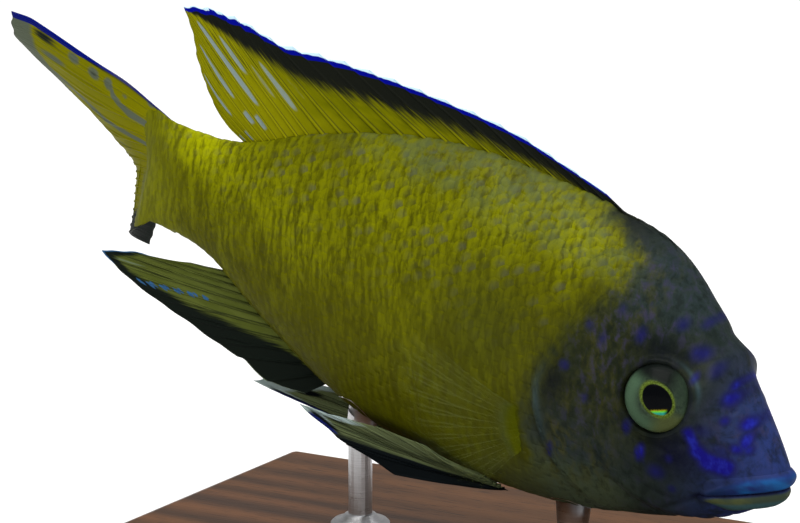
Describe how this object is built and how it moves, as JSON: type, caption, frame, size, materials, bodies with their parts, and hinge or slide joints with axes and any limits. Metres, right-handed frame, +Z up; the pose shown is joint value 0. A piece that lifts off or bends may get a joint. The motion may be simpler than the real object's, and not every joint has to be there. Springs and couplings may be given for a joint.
{
  "type": "peacock cichlid model on a display stand",
  "caption": "Life-size model of a male peacock cichlid, nose tipped down and tail turned aside, held over a flat wooden base by short metal rods.",
  "frame": {"origin": "middle of the stand base's underside", "axes": "+X towards the fish's snout, +Y to its left, +Z up; the base stands on Z = 0"},
  "size_m": [0.1335, 0.06, 0.0769],
  "materials": {
    "skin": "satin",
    "lips": "glossy",
    "eyes": "glossy",
    "dorsal_fin": "satin",
    "anal_fin": "satin",
    "tail_fin": "satin",
    "pectoral_fins": "satin",
    "pelvic_fins": "satin",
    "stand_wood": "satin",
    "stand_metal": "satin"
  },
  "bodies": {
    "root": {"head": "skin", "lower_jaw": "skin", "trunk": "skin", "tail_stalk": "skin", "gill_cover_left": "skin", "gill_cover_right": "skin", "upper_lip": "lips", "lower_lip": "lips", "eye_left": "eyes", "eye_right": "eyes", "dorsal_fin": "dorsal_fin", "anal_fin": "anal_fin", "tail_fin": "tail_fin", "pectoral_fin_left": "pectoral_fins", "pectoral_fin_right": "pectoral_fins", "pelvic_fin_left": "pelvic_fins", "pelvic_fin_right": "pelvic_fins", "stand_base": "stand_wood", "stand_rod_front": "stand_metal", "stand_rod_rear": "stand_metal"}
  },
  "joints": []
}
